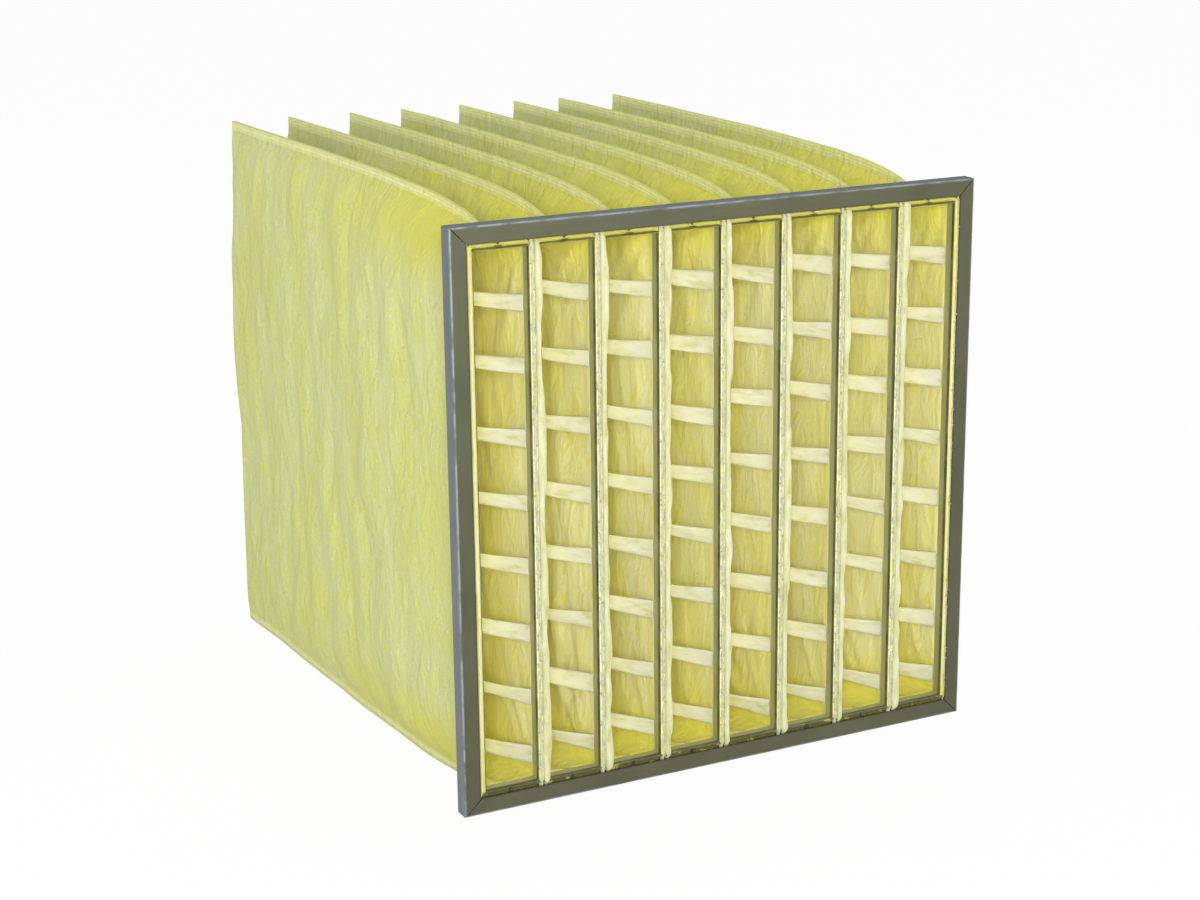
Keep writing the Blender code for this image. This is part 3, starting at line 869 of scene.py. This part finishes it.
def mouth_roll(index, material):
    """Rolled hem down the left side of a mouth, bulging a little over the strip."""
    look = bpy.context.scene.bag_filter_hem
    around, along = 18, 150
    left = centre_line(index, 0.0)[0] - MOUTH_WIDTH / 2
    width = look.roll_width * (0.25 if index == 0 else 1.0)
    low, high = FLANGE_WIDTH - ROLL_OVERLAP, HEADER_SIZE - FLANGE_WIDTH + ROLL_OVERLAP
    builder = bmesh.new()
    builder.loops.layers.uv.new("around")
    bmesh.ops.create_grid(builder, x_segments=around, y_segments=along, size=0.5, calc_uvs=True)
    for vert in builder.verts:
        turn = (vert.co.x + 0.5) * 2 * math.pi
        share = vert.co.y + 0.5
        z = low + (high - low) * share
        cap = math.sqrt(max(0.0, 1 - (2 * share - 1) ** 60)) * 0.97 + 0.03
        wave = uneven(z / 0.085, index * 7.7, 0.0)
        wave += 0.5 * uneven(z / 0.024, index * 7.7, 4.0)
        bulge = look.roll_bulge * smooth(0.5 + wave) * (0.1 if index == 0 else 1.0)
        half_x = (width + bulge) / 2 * cap
        half_y = (0.0029 + 0.0006 * uneven(z / 0.03, index * 2.2, 8.0)) * cap
        ripple = 1 + 0.07 * uneven(z / 0.012, turn, index * 3.3)
        middle_x = left - 0.0002 + (width + bulge) / 2
        x = middle_x + half_x * ripple * math.copysign(abs(math.cos(turn)) ** 0.8, math.cos(turn))
        tuck = tucked(z, low, high, 0.0034, ROLL_OVERLAP, 0.0060)
        y = 0.0010 + tuck + half_y * ripple * math.sin(turn)
        vert.co = world(x, y, z)
    bmesh.ops.remove_doubles(builder, verts=builder.verts, dist=WELD_DISTANCE)
    bmesh.ops.recalc_face_normals(builder, faces=builder.faces)
    return new_piece(f"hem_{index + 1}", builder, material)


def torn_edge(index, material):
    """Raw cut edge of the cloth down the right side of a mouth, with loose tufts."""
    look = bpy.context.scene.bag_filter_hem
    pick = random.Random(400 + index)
    around, along = 12, 260
    right = centre_line(index, 0.0)[0] + MOUTH_WIDTH / 2
    width = look.torn_width * (0.3 if index == POCKET_COUNT - 1 else 1.0)
    low, high = FLANGE_WIDTH - TORN_OVERLAP, HEADER_SIZE - FLANGE_WIDTH + TORN_OVERLAP
    builder = bmesh.new()
    bmesh.ops.create_grid(builder, x_segments=around, y_segments=along, size=0.5)
    for vert in builder.verts:
        turn = (vert.co.x + 0.5) * 2 * math.pi
        share = vert.co.y + 0.5
        z = low + (high - low) * share
        ragged = uneven(z / 0.0045, turn * 0.8, index * 9.1)
        ragged += uneven(z / 0.018, turn * 0.5, index * 9.1 + 5)
        half_x = width / 2 * (1 + 0.30 * ragged)
        half_y = 0.0019 * (1 + 0.35 * ragged)
        x = right - width / 2 - 0.0003 + half_x * math.cos(turn)
        tuck = tucked(z, low, high, 0.0016, 0.0010, 0.0050)
        y = 0.0016 + tuck + half_y * math.sin(turn)
        vert.co = world(x, y, z)
    bmesh.ops.remove_doubles(builder, verts=builder.verts, dist=WELD_DISTANCE)
    for _ in range(look.tufts):
        z = pick.uniform(low + 0.004, high - 0.004)
        x = right - pick.uniform(0.0006, width + 0.0006)
        root = world(x, pick.uniform(-0.0002, 0.0012), z)
        lean = Vector((pick.uniform(-1.0, 0.5), -pick.uniform(0.2, 1.0), pick.uniform(-0.8, 0.8)))
        lean.normalize()
        length = pick.uniform(0.0012, 0.0040)
        wide = pick.uniform(0.0003, 0.0009)
        tuft = bmesh.ops.create_cone(builder, cap_ends=True, segments=4, radius1=wide,
                                     radius2=wide * 0.15, depth=length)["verts"]
        turned = lean.to_track_quat("Z", "Y").to_matrix().to_4x4()
        place = Matrix.Translation(root + lean * length * 0.4) @ turned
        bmesh.ops.transform(builder, verts=tuft, matrix=place)
    bmesh.ops.recalc_face_normals(builder, faces=builder.faces)
    return new_piece(f"torn_edge_{index + 1}", builder, material)


def pocket_ribbons(index, material):
    """The ribbons of one pocket: flat, slightly twisted, with their ends pressed on the walls."""
    look = bpy.context.scene.bag_filter_ribbon
    cloth = bpy.context.scene.bag_filter_cloth
    pick = random.Random(70 + index)
    near = STRIP_FRONT_INSET + STRIP_DEPTH + RIBBON_BEHIND_STRIP
    far = near + RIBBON_REACH
    near_x = centre_line(index, near)[0]
    builder = bmesh.new()
    total = 0.0
    for step in range(RIBBON_COUNT):
        level = ribbon_level(index, step)
        height = look.height * pick.uniform(0.90, 1.10)
        slip = pick.uniform(0.001, 0.009)
        edges = (level + (slip - height) / 2, level + slip / 2, level + (slip + height) / 2)
        near_wall = HALF_MOUTH_WIDTH - HEM_THICKNESS / 2
        path = [
            Vector((near_x + near_wall - 0.0006, near - 0.0004, 0)),
            Vector((near_x + near_wall - 0.0012, near + 0.0008, 0)),
            Vector((near_x + near_wall - 0.0040, near + 0.0050, 0)),
        ]
        sewn = []
        for place in (far, far + 0.006, far + 0.013):
            wall = inner_wall(index, -1, place, edges, cloth)
            sewn.append(Vector((centre_line(index, place)[0] - wall + 0.0007, place, 0)))
        end = sewn[0]
        start = path[-1]
        for share in (0.12, 0.25, 0.4, 0.55, 0.7, 0.82, 0.92):
            path.append(start.lerp(end, share))
        path += sewn
        travelled = [0.0]
        for before, after in zip(path, path[1:]):
            travelled.append(travelled[-1] + (after - before).length)
        total += travelled[-1]
        tilt = pick.uniform(-1.0, 1.0) * look.twist
        ups = 6
        made = bmesh.ops.create_grid(builder, x_segments=len(path) - 1, y_segments=ups, size=0.5)
        grid = made["verts"]
        grid.sort(key=lambda vert: (round(vert.co.y, 6), round(vert.co.x, 6)))
        for row in range(ups + 1):
            across = row / ups - 0.5
            for column, middle in enumerate(path):
                share = travelled[column] / travelled[-1]
                free = math.sin(math.pi * share)
                turn = tilt * free
                crease = 0.0011 * free * uneven(across * 5, share * 2.5, index * 5 + step)
                pinch = height * (1.13 - 0.34 * share) * (1 - 0.06 * free)
                run = path[min(column + 1, len(path) - 1)] - path[max(column - 1, 0)]
                run.normalize()
                side = Vector((run.y, -run.x, 0))
                drop = look.sag * free + slip * (0.5 - share)
                off = side * (across * pinch * math.sin(turn) + crease)
                place = middle + off
                vert = grid[row * len(path) + column]
                vert.co = world(place.x, place.y, level - drop + across * pinch * math.cos(turn))
    bmesh.ops.recalc_face_normals(builder, faces=builder.faces)
    piece = new_piece(f"ribbons_{index + 1}", builder, material)
    solid = piece.modifiers.new("cloth", "SOLIDIFY")
    solid.thickness = RIBBON_THICKNESS
    solid.offset = 0.0
    return piece, total


class BAGFILTER_OT_header(bpy.types.Operator):
    """Give the four header rails their galvanised finish"""

    bl_idname = "bag_filter.header"
    bl_label = "Header rails"

    def execute(self, context):
        look = context.scene.bag_filter_steel
        base, bright, dark = srgb(75, 76, 54), srgb(83, 84, 62), srgb(67, 68, 48)
        for name, streak, sides in (
            ("header_steel_upright", ROLLED_UPRIGHT, ("left", "right")),
            ("header_steel_level", ROLLED_LEVEL, ("top", "bottom")),
        ):
            steel = steel_material(name, look, look.metallic, base, bright, dark, streak)
            for side in sides:
                dress_node(f"header_{side}_rail", steel)
        return {"FINISHED"}


class BAGFILTER_OT_strips(bpy.types.Operator):
    """Give the strip frames in the mouths their thin dull finish"""

    bl_idname = "bag_filter.strips"
    bl_label = "Strip frames"

    def execute(self, context):
        look = context.scene.bag_filter_steel
        steel = steel_material(
            "strip_steel", look, look.strip_metallic,
            srgb(172, 174, 132), srgb(184, 186, 146), srgb(154, 156, 112), ROLLED_UPRIGHT
        )
        for index in range(POCKET_COUNT):
            dress_node(f"pocket_frame_{index + 1}", steel)
        return {"FINISHED"}


class BAGFILTER_OT_pockets(bpy.types.Operator):
    """Build the eight pockets with their hems and raw edges"""

    bl_idname = "bag_filter.pockets"
    bl_label = "Pockets and hems"

    def execute(self, context):
        look = context.scene.bag_filter_cloth
        outer = cloth_material(
            "media_outer", srgb(198, 205, 138), srgb(199, 202, 92), srgb(166, 167, 64),
            srgb(204, 199, 52), 1.0, 0.0, look
        )
        # Painted light: the inner copy of the same cloth is much paler than the outer one, standing
        # in for the light that fills the pockets
        inner = cloth_material(
            "media_inner", srgb(252, 249, 190), srgb(246, 237, 118), srgb(222, 210, 86),
            srgb(232, 224, 84), 0.5, 0.6, look
        )
        hem_look = hem_material()
        torn_look = torn_material()
        for index in range(POCKET_COUNT):
            number = index + 1
            piece, length, width = pocket_sheet(index, outer, inner)
            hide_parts(f"pocket_{number}")
            roll = mouth_roll(index, hem_look)
            torn = torn_edge(index, torn_look)
        return {"FINISHED"}


class BAGFILTER_OT_ribbons(bpy.types.Operator):
    """Sew the spacer ribbons across the pockets"""

    bl_idname = "bag_filter.ribbons"
    bl_label = "Spacer ribbons"

    def execute(self, context):
        material = ribbon_material()
        for index in range(POCKET_COUNT):
            piece, total = pocket_ribbons(index, material)
        return {"FINISHED"}


def add_lamp(name, place, target, size, power, colour):
    """A square soft lamp that looks at a point."""
    lamp = bpy.data.lights.new(name, "AREA")
    lamp.shape = "SQUARE"
    lamp.size = size
    lamp.energy = power
    lamp.color = colour
    holder = bpy.data.objects.new(name, lamp)
    holder.location = place
    holder.rotation_euler = (Vector(target) - Vector(place)).to_track_quat("-Z", "Y").to_euler()
    bpy.context.scene.collection.objects.link(holder)


class BAGFILTER_OT_stage(bpy.types.Operator):
    """Set the floor, the soft studio light and the camera of the photograph's view"""

    bl_idname = "bag_filter.stage"
    bl_label = "Floor, light and camera"

    def execute(self, context):
        stage = context.scene.bag_filter_stage
        builder = bmesh.new()
        bmesh.ops.create_grid(builder, x_segments=2, y_segments=2, size=FLOOR_HALF_SIZE)
        mesh = bpy.data.meshes.new("floor")
        builder.to_mesh(mesh)
        builder.free()
        floor = bpy.data.objects.new("floor", mesh)
        context.scene.collection.objects.link(floor)
        floor.location = (0, 0, -FLOOR_BELOW)
        mesh.materials.append(self.floor_material())
        self.light_world(stage.sky)
        for name, place, target, size, colour in LAMPS:
            add_lamp(name, place, target, size, getattr(stage, f"{name}_power"), colour)
        self.place_camera(context, stage)
        context.scene.view_settings.view_transform = "Standard"
        return {"FINISHED"}

    def floor_material(self):
        """Near-white floor that keeps the shadow; camera, mirror and glass rays see it paler."""
        make = NodeBuilder("floor")
        make.tree.nodes.remove(make.shader)
        grain = make.grain(make.place(), 5.0, 3.0)
        tone = make.ramp(grain, (0.3, (0.80, 0.80, 0.79)), (0.7, (0.84, 0.84, 0.83)))
        matt = make.add("ShaderNodeBsdfDiffuse", {"Color": tone})
        white = make.add("ShaderNodeEmission", {"Color": WHITE, "Strength": 1.0})
        ray = make.add("ShaderNodeLightPath")
        seen = make.sum(ray.outputs["Is Camera Ray"], ray.outputs["Is Glossy Ray"], "MAXIMUM")
        seen = make.sum(seen, ray.outputs["Is Transmission Ray"], "MAXIMUM")
        shares = {0: make.times(seen, FLOOR_WHITE_SHARE), 1: matt.outputs[0], 2: white.outputs[0]}
        blend = make.add("ShaderNodeMixShader", shares)
        output = make.tree.nodes["Material Output"]
        make.put(output.inputs["Surface"], blend.outputs[0])
        return make.material

    def light_world(self, strength):
        """Even pale light all round; camera and glass rays see white."""
        studio = bpy.data.worlds.new("studio")
        bpy.context.scene.world = studio
        studio.use_nodes = True
        tree = studio.node_tree
        shown = tree.nodes["Background"]
        shown.inputs["Color"].default_value = WHITE
        shown.inputs["Strength"].default_value = 1.0
        light = tree.nodes.new("ShaderNodeBackground")
        light.inputs["Color"].default_value = WHITE
        light.inputs["Strength"].default_value = strength
        ray = tree.nodes.new("ShaderNodeLightPath")
        seen = tree.nodes.new("ShaderNodeMath")
        seen.operation = "MAXIMUM"
        tree.links.new(ray.outputs["Is Camera Ray"], seen.inputs[0])
        tree.links.new(ray.outputs["Is Transmission Ray"], seen.inputs[1])
        blend = tree.nodes.new("ShaderNodeMixShader")
        tree.links.new(seen.outputs[0], blend.inputs[0])
        tree.links.new(light.outputs[0], blend.inputs[1])
        tree.links.new(shown.outputs[0], blend.inputs[2])
        tree.links.new(blend.outputs[0], tree.nodes["World Output"].inputs["Surface"])

    def place_camera(self, context, stage):
        """Camera of the photograph."""
        turn, look_down = stage.azimuth, stage.elevation
        ahead = Vector((
            math.sin(turn) * math.cos(look_down),
            math.cos(turn) * math.cos(look_down),
            -math.sin(look_down),
        ))
        right = ahead.cross(Vector((0, 0, 1))).normalized()
        up = right.cross(ahead)
        tipped_right = math.cos(stage.roll) * right + math.sin(stage.roll) * up
        tipped_up = -math.sin(stage.roll) * right + math.cos(stage.roll) * up
        lens = bpy.data.cameras.new("camera")
        lens.lens = stage.focal_length
        lens.sensor_width = 36.0
        lens.clip_end = 200.0
        holder = bpy.data.objects.new("camera", lens)
        turned = Matrix((tipped_right, tipped_up, -ahead)).transposed().to_4x4()
        holder.matrix_world = Matrix.Translation(stage.eye) @ turned
        context.scene.collection.objects.link(holder)
        context.scene.camera = holder


class BAGFILTER_PT_panel(bpy.types.Panel):
    """Bag filter tab of the 3D view's sidebar"""

    bl_idname = "BAGFILTER_PT_panel"
    bl_label = "Bag air filter"
    bl_space_type = "VIEW_3D"
    bl_region_type = "UI"
    bl_category = "Bag filter"

    def draw(self, context):
        layout = self.layout
        for title, settings, operators in PANEL_ROWS:
            box = layout.box()
            box.label(text=title)
            group = getattr(context.scene, settings)
            for key in group.bl_rna.properties.keys():
                if key not in {"rna_type", "name"}:
                    box.prop(group, key)
            for operator in operators:
                box.operator(operator)


PANEL_ROWS = (
    ("Steel", "bag_filter_steel", ("bag_filter.header", "bag_filter.strips")),
    ("Pockets", "bag_filter_cloth", ("bag_filter.pockets",)),
    ("Hems", "bag_filter_hem", ()),
    ("Ribbons", "bag_filter_ribbon", ("bag_filter.ribbons",)),
    ("Stage", "bag_filter_stage", ("bag_filter.stage",)),
)
SETTINGS = {
    "bag_filter_steel": BagFilterSteel,
    "bag_filter_cloth": BagFilterCloth,
    "bag_filter_hem": BagFilterHem,
    "bag_filter_ribbon": BagFilterRibbon,
    "bag_filter_stage": BagFilterStage,
}
CLASSES = (
    *SETTINGS.values(),
    BAGFILTER_OT_header,
    BAGFILTER_OT_strips,
    BAGFILTER_OT_pockets,
    BAGFILTER_OT_ribbons,
    BAGFILTER_OT_stage,
    BAGFILTER_PT_panel,
)


def register():
    for made in CLASSES:
        bpy.utils.register_class(made)
    for name, group in SETTINGS.items():
        setattr(bpy.types.Scene, name, PointerProperty(type=group))


def unregister():
    for name in SETTINGS:
        delattr(bpy.types.Scene, name)
    for made in reversed(CLASSES):
        bpy.utils.unregister_class(made)


def main():
    register()
    bpy.ops.bag_filter.header()
    bpy.ops.bag_filter.strips()
    bpy.ops.bag_filter.pockets()
    bpy.ops.bag_filter.ribbons()
    bpy.ops.bag_filter.stage()


if __name__ == "__main__":
    main()
